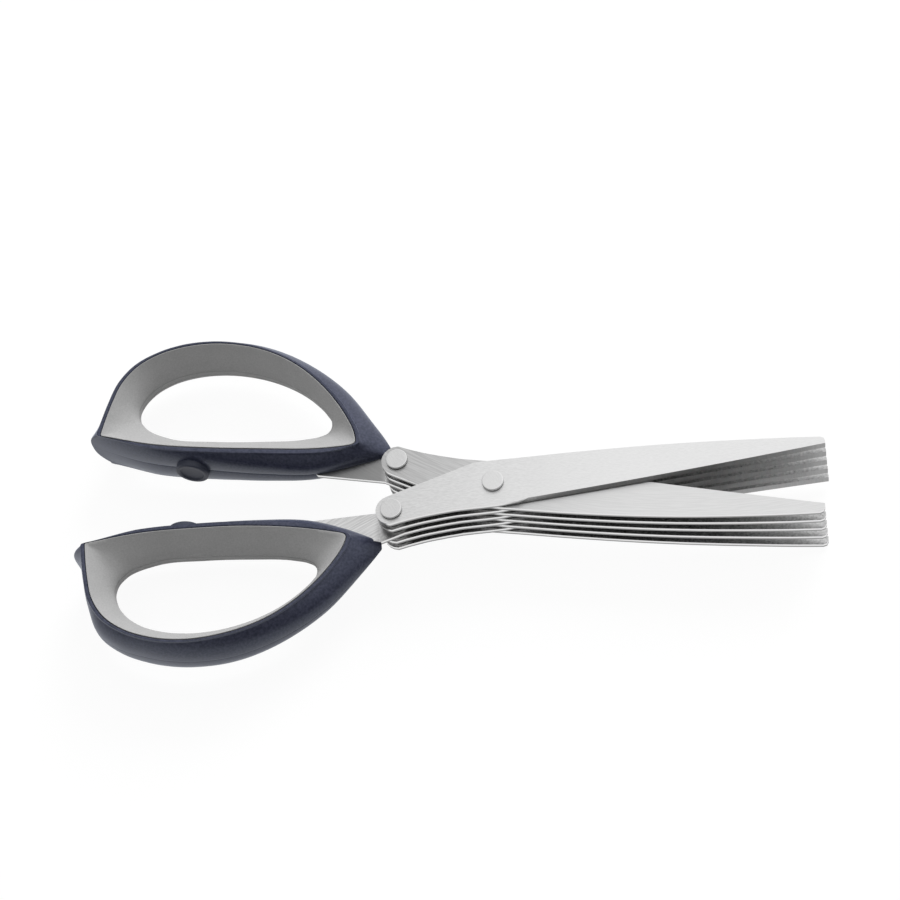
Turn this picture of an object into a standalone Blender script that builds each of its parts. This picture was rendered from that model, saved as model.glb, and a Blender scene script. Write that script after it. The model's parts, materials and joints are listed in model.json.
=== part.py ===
"""Herb scissors: two sets of five blades, stacked turn about on one pivot, with loop handles.

Frame: metres, +Z up. The pivot is the Z axis, and the flat face of its lower head is z = 0.
+X points to the tips. The scissors lie flat, a little open, as they rest on a table. The
finger half has its handle on the -Y side. The thumb half is the same half turned over about
the X axis, so every piece is drawn once, as a finger piece on the middle plane of the stack.
"""

import math

import bmesh
import bpy
from mathutils import Matrix, Vector


# Fit
CLEARANCE = 0.0003
OVERRUN = 0.001

# Blades
BLADES_IN_SET = 5
BLADE_THICKNESS = 0.0014
BLADE_PITCH = 0.00334
TIP_SPREAD = 0.00123
TIP_REACH = 0.0870
TIP_CORNER = 0.0013
SPINE_RISE = 0.0106
EDGE_START_REACH = 0.0012
EDGE_START_DROP = 0.0069
GRIND_START_REACH = 0.0096
EDGE_TIP_RISE = 0.0080
BEVEL_WIDTH = 0.0005
HEEL_DROP = 0.0070
SHOULDER_REACH = 0.0059
SHOULDER_RISE = 0.0058
REAR_END_RADIUS = 0.00425

# Rivets and spacers
REAR_RIVET_REACH = 0.02665
REAR_RIVET_OFFSET = 0.00795
RIVET_HEAD_RADIUS = 0.00285
RIVET_HEAD_HEIGHT = 0.0008
RIVET_HEAD_CHAMFER = 0.0002
PIVOT_SHANK_RADIUS = 0.0020
REAR_SHANK_RADIUS = 0.0018
SPACER_RADIUS = 0.0032

# Handle loop: the line between shell and grip, then how far each piece goes beyond it
LOOP_SETBACK = 0.01165
LOOP_OFFSET = 0.0110
LOOP_LENGTH = 0.0714
LOOP_WIDTH = 0.0344
LOOP_HALF_HEIGHT = 0.00776
NOSE_HALF_HEIGHT = 0.00596
SHELL_NOSE = 0.0083
SHELL_HEEL = 0.0043
SHELL_INNER_CROWN = 0.0034
SHELL_OUTER_CROWN = 0.0026
SHELL_INNER_RIM = 0.0010
SHELL_OUTER_RIM = 0.0008
SHELL_RIM_CHAMFER = 0.0003
FUNNEL_FRONT = 0.0085
FUNNEL_REAR = 0.0083
FUNNEL_INNER = 0.0064
FUNNEL_OUTER = 0.0050
GRIP_RIM = 0.0005

# Bumper, the soft stop between the handles
BUMPER_REACH = 0.0844
BUMPER_STAND = 0.0015
BUMPER_RADIUS = 0.0046
BUMPER_HEIGHT = 0.0026
BUMPER_EDGE = 0.0004
BUMPER_DISH_RADIUS = 0.0033
BUMPER_DISH_DEPTH = 0.0003
BUMPER_STEM_RADIUS = 0.0014
BUMPER_STEM_LENGTH = 0.0006

# Counts, and the angle in degrees from which an edge is shaded sharp
ROUND_SIDES = 28
SPAN_STEPS = 3
SIDE_STEPS = 2
END_STEPS = 5
SHARP_ANGLE = 30

# Spine of a blade, from the tip back: shares of the tip's reach and of the spine's rise
SPINE_SHARES = (
    (0.985, 0.985), (0.90, 1.0), (0.80, 1.0), (0.68, 0.99), (0.56, 0.965),
    (0.44, 0.92), (0.32, 0.855), (0.20, 0.775), (0.08, 0.68), (-0.03, 0.595),
)
# Lower side of a blade behind its edge: shares of the way back to the rear rivet, and of the
# way down from the heel to the round rear end
HEEL_SHARES = (
    (0.09, 0.06), (0.36, 0.21), (0.61, 0.45), (0.74, 0.60), (0.90, 0.83),
)
# Loop outline: shares of its length from the front and of its width from the inner side
LOOP_SHARES = (
    (1.0, 0.157), (0.793, 0.071), (0.570, 0.031), (0.372, 0.017), (0.159, 0.028),
    (0.072, 0.048), (0.0, 0.078), (0.012, 0.181), (0.048, 0.328), (0.105, 0.497),
    (0.182, 0.669), (0.274, 0.815), (0.371, 0.913), (0.479, 0.976), (0.591, 1.0),
    (0.704, 0.977), (0.804, 0.912), (0.888, 0.798), (0.942, 0.643), (0.972, 0.450),
    (0.988, 0.299),
)
# Widest outline of the shell, on its middle plane, in shares of the shell's box
CROWN_SHARES = (
    (1.0, 0.255), (0.804, 0.118), (0.592, 0.044), (0.408, 0.007), (0.241, 0.0),
    (0.113, 0.062), (0.004, 0.134), (0.0, 0.191), (0.065, 0.383), (0.162, 0.629),
    (0.259, 0.789), (0.360, 0.905), (0.456, 0.973), (0.550, 1.0), (0.639, 0.997),
    (0.728, 0.965), (0.828, 0.892), (0.891, 0.791), (0.921, 0.649), (0.947, 0.470),
    (0.967, 0.345),
)
# Narrowest outline of the grip, on its middle plane, in shares of the throat's box
THROAT_SHARES = (
    (0.963, 0.241), (0.819, 0.067), (0.575, 0.008), (0.342, 0.0), (0.132, 0.027),
    (0.051, 0.069), (0.004, 0.156), (0.002, 0.265), (0.037, 0.402), (0.097, 0.552),
    (0.176, 0.696), (0.269, 0.817), (0.370, 0.911), (0.489, 0.977), (0.615, 1.0),
    (0.738, 0.973), (0.845, 0.895), (0.927, 0.768), (0.979, 0.610), (1.0, 0.455),
    (0.991, 0.335),
)
# Stations where an outline turns a corner: the rear one, and one or two at the front
LOOP_CORNERS = (0, 6)
CROWN_CORNERS = (0, 6, 7)
# Share of the loop's length over which the handle thins towards the blades
TAPER_SHARE = 0.45
# Levels of the crown and of the funnel, in shares of the half height. The last of the crown's
# levels is the edge of the band where the shell is widest.
CROWN_LEVEL_SHARES = (0.72, 0.42, 0.15)
FUNNEL_LEVEL_SHARES = (0.80, 0.55, 0.28)
# Share of the loop's width over which the rim narrows from its inner to its outer side
RIM_TURN_SHARE = 0.3
CROWN_POWER = 1.8
FUNNEL_POWER = 1.5
# Shortest step between two sections of a blade, as a share of the tip's corner
SHORTEST_STEP_SHARE = 0.125
# Tang: how far its upper side runs on beyond the shoulder, as a share of the way to the round
# end, and the rest of its outline in shares of the shell's length back from the nose and of
# the inner crown out from the loop's line
TANG_RUN_SHARE = 1.12
TANG_INNER_SHARES = ((0.231, 1.035), (0.265, 0.60), (0.386, 0.506))
TANG_OUTER_SHARES = ((0.386, 0.059), (0.258, 0.0), (0.169, -0.20), (0.085, -0.494), (0.001, -0.882))

# Worked out from the above
SLOTS = 2 * BLADES_IN_SET
SLOT_PITCH = BLADE_PITCH / 2
STACK_HALF_HEIGHT = (SLOTS - 1) / 2 * SLOT_PITCH + BLADE_THICKNESS / 2
MIDDLE_HEIGHT = STACK_HALF_HEIGHT + CLEARANCE + RIVET_HEAD_HEIGHT
SPACER_THICKNESS = BLADE_PITCH - BLADE_THICKNESS - 2 * CLEARANCE
SHORTEST_STEP = TIP_CORNER * SHORTEST_STEP_SHARE
TANG_BLADE = BLADES_IN_SET // 2
LOOP_FRONT = -(REAR_RIVET_REACH + LOOP_SETBACK)
SHELL_FRONT = LOOP_FRONT + SHELL_NOSE
SHELL_LENGTH = SHELL_NOSE + LOOP_LENGTH + SHELL_HEEL
SHELL_WIDTH = SHELL_INNER_CROWN + LOOP_WIDTH + SHELL_OUTER_CROWN
THROAT_LENGTH = LOOP_LENGTH - FUNNEL_FRONT - FUNNEL_REAR
THROAT_WIDTH = LOOP_WIDTH - FUNNEL_INNER - FUNNEL_OUTER
REAR_CENTRE = Vector((-REAR_RIVET_REACH, -REAR_RIVET_OFFSET))


def clear_scene():
    """Remove whatever the file holds."""
    for old in list(bpy.data.objects):
        bpy.data.objects.remove(old, do_unlink=True)


def material(name, colour, roughness, metallic):
    """Return a Principled material."""
    made = bpy.data.materials.new(name)
    made.use_nodes = True
    shader = made.node_tree.nodes["Principled BSDF"]
    shader.inputs["Base Color"].default_value = (*colour, 1.0)
    shader.inputs["Roughness"].default_value = roughness
    shader.inputs["Metallic"].default_value = metallic
    return made


def mesh_from(name, build):
    """Make a mesh with a function that fills a bmesh, smooth but for its sharp edges."""
    work = bmesh.new()
    build(work)
    bmesh.ops.recalc_face_normals(work, faces=work.faces)
    if work.calc_volume(signed=True) < 0:
        bmesh.ops.reverse_faces(work, faces=work.faces)
    mesh = bpy.data.meshes.new(name)
    work.to_mesh(mesh)
    work.free()
    mesh.shade_smooth()
    mesh.set_sharp_from_angle(angle=math.radians(SHARP_ANGLE))
    return mesh


def add_piece(name, build, finish, half, place=None):
    """Add one named piece to a half of the scissors."""
    piece = bpy.data.objects.new(name, mesh_from(name, build))
    bpy.context.scene.collection.objects.link(piece)
    piece.data.materials.append(finish)
    piece.parent = half
    if place:
        piece.matrix_local = place
    return piece


def add_cutter(name, build, half, place=None):
    """Add a shape that Boolean modifiers cut away, hidden from renders."""
    cutter = bpy.data.objects.new(name, mesh_from(name, build))
    bpy.context.scene.collection.objects.link(cutter)
    cutter.parent = half
    if place:
        cutter.matrix_local = place
    cutter.hide_render = True
    cutter.display_type = "WIRE"
    return cutter


def cut(piece, cutter):
    """Cut one shape out of a piece."""
    modifier = piece.modifiers.new(cutter.name, "BOOLEAN")
    modifier.operation = "DIFFERENCE"
    modifier.solver = "EXACT"
    modifier.object = cutter


def join_rings(work, first, second):
    """Fill between two closed rings of vertices, either of which may be a single point."""
    count = max(len(first), len(second))
    for step in range(count):
        after = (step + 1) % count
        corners = []
        for ring, index in ((first, step), (first, after), (second, after), (second, step)):
            corner = ring[index % len(ring)]
            if corner not in corners:
                corners.append(corner)
        work.faces.new(corners)


def turned(profile, closed=False):
    """Return a builder that turns a profile of radii and heights about Z."""
    def build(work):
        rings = []
        for radius, height in profile:
            sides = ROUND_SIDES if radius else 1
            ring = []
            for step in range(sides):
                angle = 2 * math.pi * step / sides
                ring.append(work.verts.new((radius * math.cos(angle), radius * math.sin(angle), height)))
            rings.append(ring)
        for first, second in zip(rings, rings[1:]):
            join_rings(work, first, second)
        if closed:
            join_rings(work, rings[-1], rings[0])
    return build


def lofted(sections):
    """Return a builder that joins closed sections into a closed loop."""
    def build(work):
        rings = [[work.verts.new(point) for point in section] for section in sections]
        for index, ring in enumerate(rings):
            join_rings(work, ring, rings[(index + 1) % len(rings)])
    return build


def prism(outline, bottom, top):
    """Return a builder that extrudes a flat outline from one height to another."""
    def build(work):
        lower = [work.verts.new((point.x, point.y, bottom)) for point in outline]
        upper = [work.verts.new((point.x, point.y, top)) for point in outline]
        work.faces.new(lower[::-1])
        work.faces.new(upper)
        join_rings(work, lower, upper)
    return build


def smooth_curve(points, steps, corners=(), closed=True):
    """Return points along a smooth curve through the given ones, sharp at the named corners."""
    count = len(points)
    spans = count if closed else count - 1
    curve = []
    for index in range(spans):
        following = (index + 1) % count
        start = points[index]
        end = points[following]
        open_start = index in corners or (index == 0 and not closed)
        open_end = following in corners or (index == spans - 1 and not closed)
        before = start if open_start else points[index - 1]
        after = end if open_end else points[(index + 2) % count]
        for step in range(steps):
            t = step / steps
            point = start * (2 * t**3 - 3 * t**2 + 1) + end * (3 * t**2 - 2 * t**3)
            point += (end - before) / 2 * (t**3 - 2 * t**2 + t)
            point += (after - start) / 2 * (t**3 - t**2)
            curve.append(point)
    if not closed:
        curve.append(points[-1])
    return curve


def shifted(outline, distance):
    """Move a closed outline outwards by a distance, or inwards by a negative one."""
    area = sum(a.cross(b) for a, b in zip(outline, outline[1:] + outline[:1]))
    step = math.copysign(1, area) * distance
    moved = []
    for index, point in enumerate(outline):
        back = (point - outline[index - 1]).normalized()
        ahead = (outline[(index + 1) % len(outline)] - point).normalized()
        middle = (back + ahead).normalized()
        outwards = Vector((middle.y, -middle.x))
        moved.append(point + outwards * step / middle.dot(ahead))
    return moved


def height_along(curve, reach):
    """Return the Y of a curve, drawn from the tip back, at one X."""
    for front, rear in zip(curve, curve[1:]):
        if rear.x <= reach <= front.x and rear.x < front.x:
            return front.y + (rear.y - front.y) * (front.x - reach) / (front.x - rear.x)
    return curve[0].y if reach > curve[0].x else curve[-1].y


def slot_height(slot):
    """Return the height over the middle plane of a blade slot, counted from the top."""
    return ((SLOTS - 1) / 2 - slot) * SLOT_PITCH


def round_end(first, last):
    """Return points of the blades' round rear end from one angle to another."""
    points = []
    for step in range(END_STEPS + 1):
        angle = first + (last - first) * step / END_STEPS
        points.append(REAR_CENTRE + REAR_END_RADIUS * Vector((math.cos(angle), math.sin(angle))))
    return points


def shoulder_line():
    """Return the shoulder, and the angle at which the line from it meets the round end."""
    shoulder = Vector((-SHOULDER_REACH, SHOULDER_RISE))
    run = shoulder - REAR_CENTRE
    return shoulder, math.atan2(run.y, run.x) + math.acos(REAR_END_RADIUS / run.length)


def spine():
    """Return the upper side of a blade, from the tip back to its shoulder."""
    points = [Vector((reach * TIP_REACH, rise * SPINE_RISE)) for reach, rise in SPINE_SHARES]
    points.append(shoulder_line()[0])
    tip_top = points[0].y - TIP_CORNER
    rounding = TIP_CORNER * (1 - math.sqrt(1 / 2))
    corner = [
        Vector((TIP_REACH, tip_top)),
        Vector((TIP_REACH - rounding, tip_top + TIP_CORNER - rounding)),
    ]
    return corner + smooth_curve(points, SIDE_STEPS, closed=False)


def heel():
    """Return the lower side of a blade, from the tip along its edge to the round end."""
    depth = REAR_RIVET_OFFSET + REAR_END_RADIUS
    points = [Vector((EDGE_START_REACH, -EDGE_START_DROP))]
    for along, down in HEEL_SHARES:
        points.append(Vector((-along * REAR_RIVET_REACH, -HEEL_DROP - down * (depth - HEEL_DROP))))
    edge = [Vector((TIP_REACH, EDGE_TIP_RISE)), points[0]]
    for reach in (GRIND_START_REACH, GRIND_START_REACH + BEVEL_WIDTH):
        edge.insert(1, Vector((reach, height_along(edge, reach))))
    return edge[:-1] + smooth_curve(points, SIDE_STEPS, closed=False)


def tang_side(shares):
    """Return points of the tang, which lies between the shell's inner side and its loop."""
    points = []
    for back, out in shares:
        reach = SHELL_FRONT - back * SHELL_LENGTH
        points.append(Vector((reach, -(LOOP_OFFSET - out * SHELL_INNER_CROWN))))
    return points


def tang_inner():
    """Return the tang's upper side, from the blade back to its end."""
    shoulder, lean = shoulder_line()
    tangent = round_end(lean, lean)[0]
    return [shoulder + (tangent - shoulder) * TANG_RUN_SHARE, *tang_side(TANG_INNER_SHARES)]


def blade_sides(with_tang):
    """Return the upper and the lower side of a blade, each from the tip back."""
    if with_tang:
        return spine() + tang_inner(), heel() + tang_side(TANG_OUTER_SHARES)[::-1]
    lean = shoulder_line()[1]
    return spine() + round_end(lean, math.pi), heel() + round_end(1.5 * math.pi, math.pi)


def blade(slot, with_tang):
    """Return a builder for the blade in a slot: flat below, ground to an edge from above."""
    upper, lower = blade_sides(with_tang)
    stations = []
    for reach in sorted((point.x for point in upper + lower), reverse=True):
        if not stations or stations[-1] - reach > SHORTEST_STEP:
            stations.append(reach)
    stations[-1] = upper[-1].x

    def lift(point, side):
        spread = 1 + TIP_SPREAD / BLADE_PITCH * (max(point.x, 0) / TIP_REACH) ** 2
        return (point.x, point.y, slot_height(slot) * spread + side * BLADE_THICKNESS / 2)

    def build(work):
        rings = []
        for reach in stations:
            top = Vector((reach, height_along(upper, reach)))
            bottom = Vector((reach, height_along(lower, reach)))
            ground = Vector((0, BEVEL_WIDTH if reach > GRIND_START_REACH else 0))
            spine_corners = [work.verts.new(lift(top, 1)), work.verts.new(lift(top, -1))]
            edge_corners = spine_corners[::-1]
            if (top - bottom).length > SHORTEST_STEP:
                edge_corners = [work.verts.new(lift(bottom, -1)), work.verts.new(lift(bottom + ground, 1))]
            rings.append(spine_corners + edge_corners)
        for first, second in zip(rings, rings[1:]):
            for side in range(4):
                corners = []
                for corner in (first[side], first[side - 1], second[side - 1], second[side]):
                    if corner not in corners:
                        corners.append(corner)
                if len(corners) > 2:
                    work.faces.new(corners)
        for end in (rings[0], rings[-1]):
            if len(set(end)) == 4:
                work.faces.new(end)
    return build


def rivet(shank_radius, bottom, top):
    """Return a builder for a rivet with a flat round head at each end."""
    rim = RIVET_HEAD_RADIUS - RIVET_HEAD_CHAMFER
    return turned((
        (0, bottom), (rim, bottom), (RIVET_HEAD_RADIUS, bottom + RIVET_HEAD_CHAMFER),
        (RIVET_HEAD_RADIUS, bottom + RIVET_HEAD_HEIGHT), (shank_radius, bottom + RIVET_HEAD_HEIGHT),
        (shank_radius, top - RIVET_HEAD_HEIGHT), (RIVET_HEAD_RADIUS, top - RIVET_HEAD_HEIGHT),
        (RIVET_HEAD_RADIUS, top - RIVET_HEAD_CHAMFER), (rim, top), (0, top),
    ))


def bore(shank_radius):
    """Return a builder for the hole that a rivet's shank passes through."""
    radius = shank_radius + CLEARANCE
    reach = STACK_HALF_HEIGHT + OVERRUN
    return turned(((0, -reach), (radius, -reach), (radius, reach), (0, reach)))


def spacer():
    """Return a builder for the washer between two blades of a set."""
    half = SPACER_THICKNESS / 2
    hole = REAR_SHANK_RADIUS + CLEARANCE
    profile = ((hole, half), (SPACER_RADIUS, half), (SPACER_RADIUS, -half), (hole, -half))
    return turned(profile, closed=True)


def outline(shares, front, inner, length, width):
    """Return the points that shares of a box give, on the finger half's side."""
    return [Vector((front - back * length, -(inner + out * width))) for back, out in shares]


def loop_line():
    """Return the line between the shell and the grip."""
    points = outline(LOOP_SHARES, LOOP_FRONT, LOOP_OFFSET, LOOP_LENGTH, LOOP_WIDTH)
    return smooth_curve(points, SPAN_STEPS, LOOP_CORNERS)


def crown_line():
    """Return the shell's outline on the middle plane."""
    inner = LOOP_OFFSET - SHELL_INNER_CROWN
    points = outline(CROWN_SHARES, SHELL_FRONT, inner, SHELL_LENGTH, SHELL_WIDTH)
    return smooth_curve(points, SPAN_STEPS, CROWN_CORNERS)


def throat_line():
    """Return the grip's outline on the middle plane."""
    front = LOOP_FRONT - FUNNEL_FRONT
    points = outline(THROAT_SHARES, front, LOOP_OFFSET + FUNNEL_INNER, THROAT_LENGTH, THROAT_WIDTH)
    return smooth_curve(points, SPAN_STEPS)


def half_height(point):
    """Return half the handle's thickness at a point of the loop's line."""
    share = (LOOP_FRONT - point.x) / (LOOP_LENGTH * TAPER_SHARE)
    share = min(max(share, 0), 1)
    blend = share * share * (3 - 2 * share)
    return NOSE_HALF_HEIGHT + (LOOP_HALF_HEIGHT - NOSE_HALF_HEIGHT) * blend


def mirrored(profile):
    """Close a half profile, drawn from the rim down, with the same below the middle plane."""
    return profile + [Vector((point.x, point.y, -point.z)) for point in profile[::-1] if point.z > 0]


def shell():
    """Return a builder for the handle's hard shell: a ring with a crowned outer side."""
    band = CROWN_LEVEL_SHARES[-1]
    sections = []
    for rim, crown in zip(loop_line(), crown_line()):
        high = half_height(rim)
        across = min((-rim.y - LOOP_OFFSET) / (LOOP_WIDTH * RIM_TURN_SHARE), 1)
        width = SHELL_INNER_RIM + (SHELL_OUTER_RIM - SHELL_INNER_RIM) * across
        out = (crown - rim).normalized()
        edge = rim + out * width
        lip = edge + out * SHELL_RIM_CHAMFER
        top = high - SHELL_RIM_CHAMFER
        profile = [Vector((*rim, high)), Vector((*edge, high)), Vector((*lip, top))]
        for level in CROWN_LEVEL_SHARES:
            bulge = 1 - ((level - band) / (1 - band)) ** CROWN_POWER
            profile.append(Vector((*lip.lerp(crown, bulge), top * level)))
        sections.append(mirrored(profile))
    return lofted(sections)


def grip():
    """Return a builder for the soft insert: a ring that narrows like a funnel from both sides."""
    sections = []
    line = loop_line()
    seat = shifted(line, -CLEARANCE)
    land = shifted(line, -CLEARANCE - GRIP_RIM)
    for rim, outer, inner, throat in zip(line, seat, land, throat_line()):
        high = half_height(rim)
        profile = [Vector((*outer, high)), Vector((*inner, high))]
        for level in FUNNEL_LEVEL_SHARES:
            narrowing = 1 - level**FUNNEL_POWER
            profile.append(Vector((*inner.lerp(throat, narrowing), high * level)))
        profile.append(Vector((*throat, 0)))
        sections.append(mirrored(profile))
    return lofted(sections)


def bumper_place():
    """Return the place of the bumper's face, which stands out of the shell's inner wall."""
    wall = crown_line()
    rear, front = next((a, b) for a, b in zip(wall, wall[1:]) if a.x <= -BUMPER_REACH < b.x)
    foot = rear.lerp(front, (-BUMPER_REACH - rear.x) / (front.x - rear.x)).to_3d()
    along = (front - rear).normalized()
    outwards = Vector((-along.y, along.x, 0))
    turn = outwards.to_track_quat("Z", "Y").to_matrix().to_4x4()
    return Matrix.Translation(foot + outwards * BUMPER_STAND) @ turn


def bumper():
    """Return a builder for the bumper: a dished button on a stem, its face at height zero."""
    foot = -BUMPER_HEIGHT
    end = foot - BUMPER_STEM_LENGTH
    return turned((
        (0, end), (BUMPER_STEM_RADIUS, end), (BUMPER_STEM_RADIUS, foot), (BUMPER_RADIUS, foot),
        (BUMPER_RADIUS, -BUMPER_EDGE), (BUMPER_RADIUS - BUMPER_EDGE, 0), (BUMPER_DISH_RADIUS, 0),
        (BUMPER_DISH_RADIUS - BUMPER_DISH_DEPTH, -BUMPER_DISH_DEPTH), (0, -BUMPER_DISH_DEPTH),
    ))


def bumper_socket():
    """Return a builder for the socket that the bumper sits in."""
    floor = -BUMPER_HEIGHT - CLEARANCE
    end = floor - BUMPER_STEM_LENGTH
    stem = BUMPER_STEM_RADIUS + CLEARANCE
    wide = BUMPER_RADIUS + CLEARANCE
    return turned(((0, end), (stem, end), (stem, floor), (wide, floor), (wide, OVERRUN), (0, OVERRUN)))


def tang_slot():
    """Return a builder for the slot that the tang sits in."""
    edge = shifted(tang_inner() + tang_side(TANG_OUTER_SHARES), CLEARANCE)
    middle = slot_height(2 * TANG_BLADE)
    reach = BLADE_THICKNESS / 2 + CLEARANCE
    return prism(edge, middle - reach, middle + reach)


def add_half(side, turn):
    """Add one half of the scissors, less the pivot rivet, and return its empty."""
    half = bpy.data.objects.new(f"{side}_half", None)
    bpy.context.scene.collection.objects.link(half)
    half.matrix_world = Matrix.Translation((0, 0, MIDDLE_HEIGHT)) @ Matrix.Rotation(turn, 4, "X")
    steel = material(f"{side}_steel", (0.70, 0.70, 0.69), 0.32, 1.0)
    bright_steel = material(f"{side}_rivet_steel", (0.76, 0.76, 0.75), 0.25, 1.0)
    hard_plastic = material(f"{side}_slate_plastic", (0.040, 0.050, 0.080), 0.48, 0.0)
    soft_plastic = material(f"{side}_grey_rubber", (0.40, 0.40, 0.39), 0.65, 0.0)
    rubber = material(f"{side}_bumper_rubber", (0.030, 0.036, 0.055), 0.60, 0.0)

    rear_place = Matrix.Translation((*REAR_CENTRE, 0))
    pivot_bore = add_cutter(f"{side}_pivot_bore", bore(PIVOT_SHANK_RADIUS), half)
    rear_bore = add_cutter(f"{side}_rear_bore", bore(REAR_SHANK_RADIUS), half, rear_place)
    for index in range(BLADES_IN_SET):
        number = index + 1 if turn == 0 else BLADES_IN_SET - index
        piece = add_piece(f"{side}_blade_{number}", blade(2 * index, index == TANG_BLADE), steel, half)
        cut(piece, pivot_bore)
        cut(piece, rear_bore)
    for index in range(BLADES_IN_SET - 1):
        number = index + 1 if turn == 0 else BLADES_IN_SET - 1 - index
        place = rear_place @ Matrix.Translation((0, 0, slot_height(2 * index + 1)))
        add_piece(f"{side}_spacer_{number}", spacer(), steel, half, place)
    reach = BLADE_THICKNESS / 2 + CLEARANCE + RIVET_HEAD_HEIGHT
    ends = (slot_height(2 * BLADES_IN_SET - 2) - reach, slot_height(0) + reach)
    add_piece(f"{side}_rear_rivet", rivet(REAR_SHANK_RADIUS, *ends), bright_steel, half, rear_place)

    handle = add_piece(f"{side}_handle_shell", shell(), hard_plastic, half)
    cut(handle, add_cutter(f"{side}_tang_slot", tang_slot(), half))
    cut(handle, add_cutter(f"{side}_bumper_socket", bumper_socket(), half, bumper_place()))
    add_piece(f"{side}_handle_grip", grip(), soft_plastic, half)
    add_piece(f"{side}_bumper", bumper(), rubber, half, bumper_place())
    return half


clear_scene()
finger_half = add_half("finger", 0)
add_half("thumb", math.pi)
pivot_steel = material("pivot_rivet_steel", (0.76, 0.76, 0.75), 0.25, 1.0)
pivot = rivet(PIVOT_SHANK_RADIUS, -MIDDLE_HEIGHT, MIDDLE_HEIGHT)
add_piece("pivot_rivet", pivot, pivot_steel, finger_half)
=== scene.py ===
"""Looks of the herb scissors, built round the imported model."""

import json
import math

import bmesh
import bpy
from mathutils import Matrix, Vector


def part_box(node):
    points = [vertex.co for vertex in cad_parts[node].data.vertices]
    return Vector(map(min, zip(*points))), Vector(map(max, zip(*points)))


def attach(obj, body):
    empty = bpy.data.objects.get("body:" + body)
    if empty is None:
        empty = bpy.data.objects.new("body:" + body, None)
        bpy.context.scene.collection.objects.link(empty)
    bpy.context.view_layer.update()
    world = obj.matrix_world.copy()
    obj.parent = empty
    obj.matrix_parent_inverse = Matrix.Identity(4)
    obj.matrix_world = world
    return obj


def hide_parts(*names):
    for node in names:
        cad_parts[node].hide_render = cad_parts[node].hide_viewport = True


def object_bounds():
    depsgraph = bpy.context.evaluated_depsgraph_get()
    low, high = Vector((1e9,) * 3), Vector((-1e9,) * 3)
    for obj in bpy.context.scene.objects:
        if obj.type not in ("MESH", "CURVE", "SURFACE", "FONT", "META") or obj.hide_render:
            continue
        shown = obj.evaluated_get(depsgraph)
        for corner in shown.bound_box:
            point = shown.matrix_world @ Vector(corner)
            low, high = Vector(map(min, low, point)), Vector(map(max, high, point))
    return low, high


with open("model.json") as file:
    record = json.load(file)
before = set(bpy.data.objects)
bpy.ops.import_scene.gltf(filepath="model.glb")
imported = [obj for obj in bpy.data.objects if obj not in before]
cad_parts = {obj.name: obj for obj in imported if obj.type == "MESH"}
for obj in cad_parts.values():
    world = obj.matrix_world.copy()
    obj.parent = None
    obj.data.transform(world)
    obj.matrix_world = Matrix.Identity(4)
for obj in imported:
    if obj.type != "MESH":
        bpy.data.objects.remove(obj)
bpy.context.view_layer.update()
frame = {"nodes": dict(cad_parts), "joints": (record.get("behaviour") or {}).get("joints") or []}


# The camera stands over the lower side of the scissors and looks down on them, as the photograph
# does. Its height is over the middle plane of the blade stack, which both halves are turned about.
CAMERA_RIGHT = (0.9852, 0.0694, -0.1569)
CAMERA_UP = (0.0171, 0.8701, 0.4925)
CAMERA_BACK = (0.1707, -0.4879, 0.8560)
CAMERA_PLACE = (0.1239, -0.3790)
CAMERA_HEIGHT = 0.6905
LENS = 120
SENSOR = 36
middle = frame["joints"][0]["pos_m"][2]
camera = bpy.data.objects.new("camera", bpy.data.cameras.new("camera"))
bpy.context.scene.collection.objects.link(camera)
camera.data.lens = LENS
camera.data.sensor_width = SENSOR
camera.matrix_world = Matrix((CAMERA_RIGHT, CAMERA_UP, CAMERA_BACK)).transposed().to_4x4()
camera.location = (*CAMERA_PLACE, CAMERA_HEIGHT + middle)
bpy.context.scene.camera = camera


# Ten blades of rolled stainless steel, blanked, ground to an edge on one side and run in a tumbler,
# which breaks their edges a little. The open faces are brushed in long arcs, but along the blade on
# the front one. Their colour carries painted shade and light: it changes at the stack's end, where
# the tangs start, is darker between the blades and at the walls' feet, and lighter towards the tips.
EDGE_BREAK = 0.00008
EDGE_STEPS = 2
BLADE_SHARP = 28
SMALL_FACE = 0.3
MERGE = 0.000002
LEVEL_ANGLE = 2
GROUND_SLOPE = (0.2, 0.5)
FLAT_SLOPE = 0.9
WALL_SLOPE = 0.5
MILLIMETRES = 1000
BRUSHED, GROUND, TUMBLED_SHADED = range(3)
WHITE = (1, 1, 1, 1)
STEEL_LIGHT = (0.80, 0.80, 0.80, 1)
STEEL_DARK = (0.60, 0.60, 0.60, 1)
# The arc-brushed blades are darkened towards this colour as painted shade and painted reflection.
STEEL_PAINTED_SHADE = (0.20, 0.20, 0.20, 1)
GROUND_LIGHT = (0.44, 0.44, 0.44, 1)
GROUND_DARK = (0.30, 0.30, 0.30, 1)
# The faces between the blades are darker than the open ones, as painted shade.
SHADED_INNER_LIGHT = (0.70, 0.70, 0.70, 1)
SHADED_INNER_DARK = (0.41, 0.41, 0.41, 1)
# Walls are bright above; their darker foot is painted shade.
WALL_BRIGHT = (0.86, 0.86, 0.86, 1)
WALL_FOOT_SHADE = (0.30, 0.30, 0.30, 1)

# Marks and grains, here and below, have their noise's scale, its stretch or detail where that is
# set, and their contrast. A roughness has its lowest and highest value, and a relief its strength
# and depth. The arcs' centre lies that far out on the side of a half's handle.
ARC_CENTRE = (0.053, 0.150)
ARC_STREAKS = (3200.0, 0.04, 4.6)
LONG_STREAKS = (4200.0, 0.22, 2.0)
BROAD_STREAKS = (900.0, 0.05)
BROAD_SHARE = 0.1
STEEL_CLOUD = (120.0, 0.15)
BRUSHED_ROUGHNESS = (0.30, 0.46)
BRUSHED_RELIEF = (0.25, 0.00001)
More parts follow.
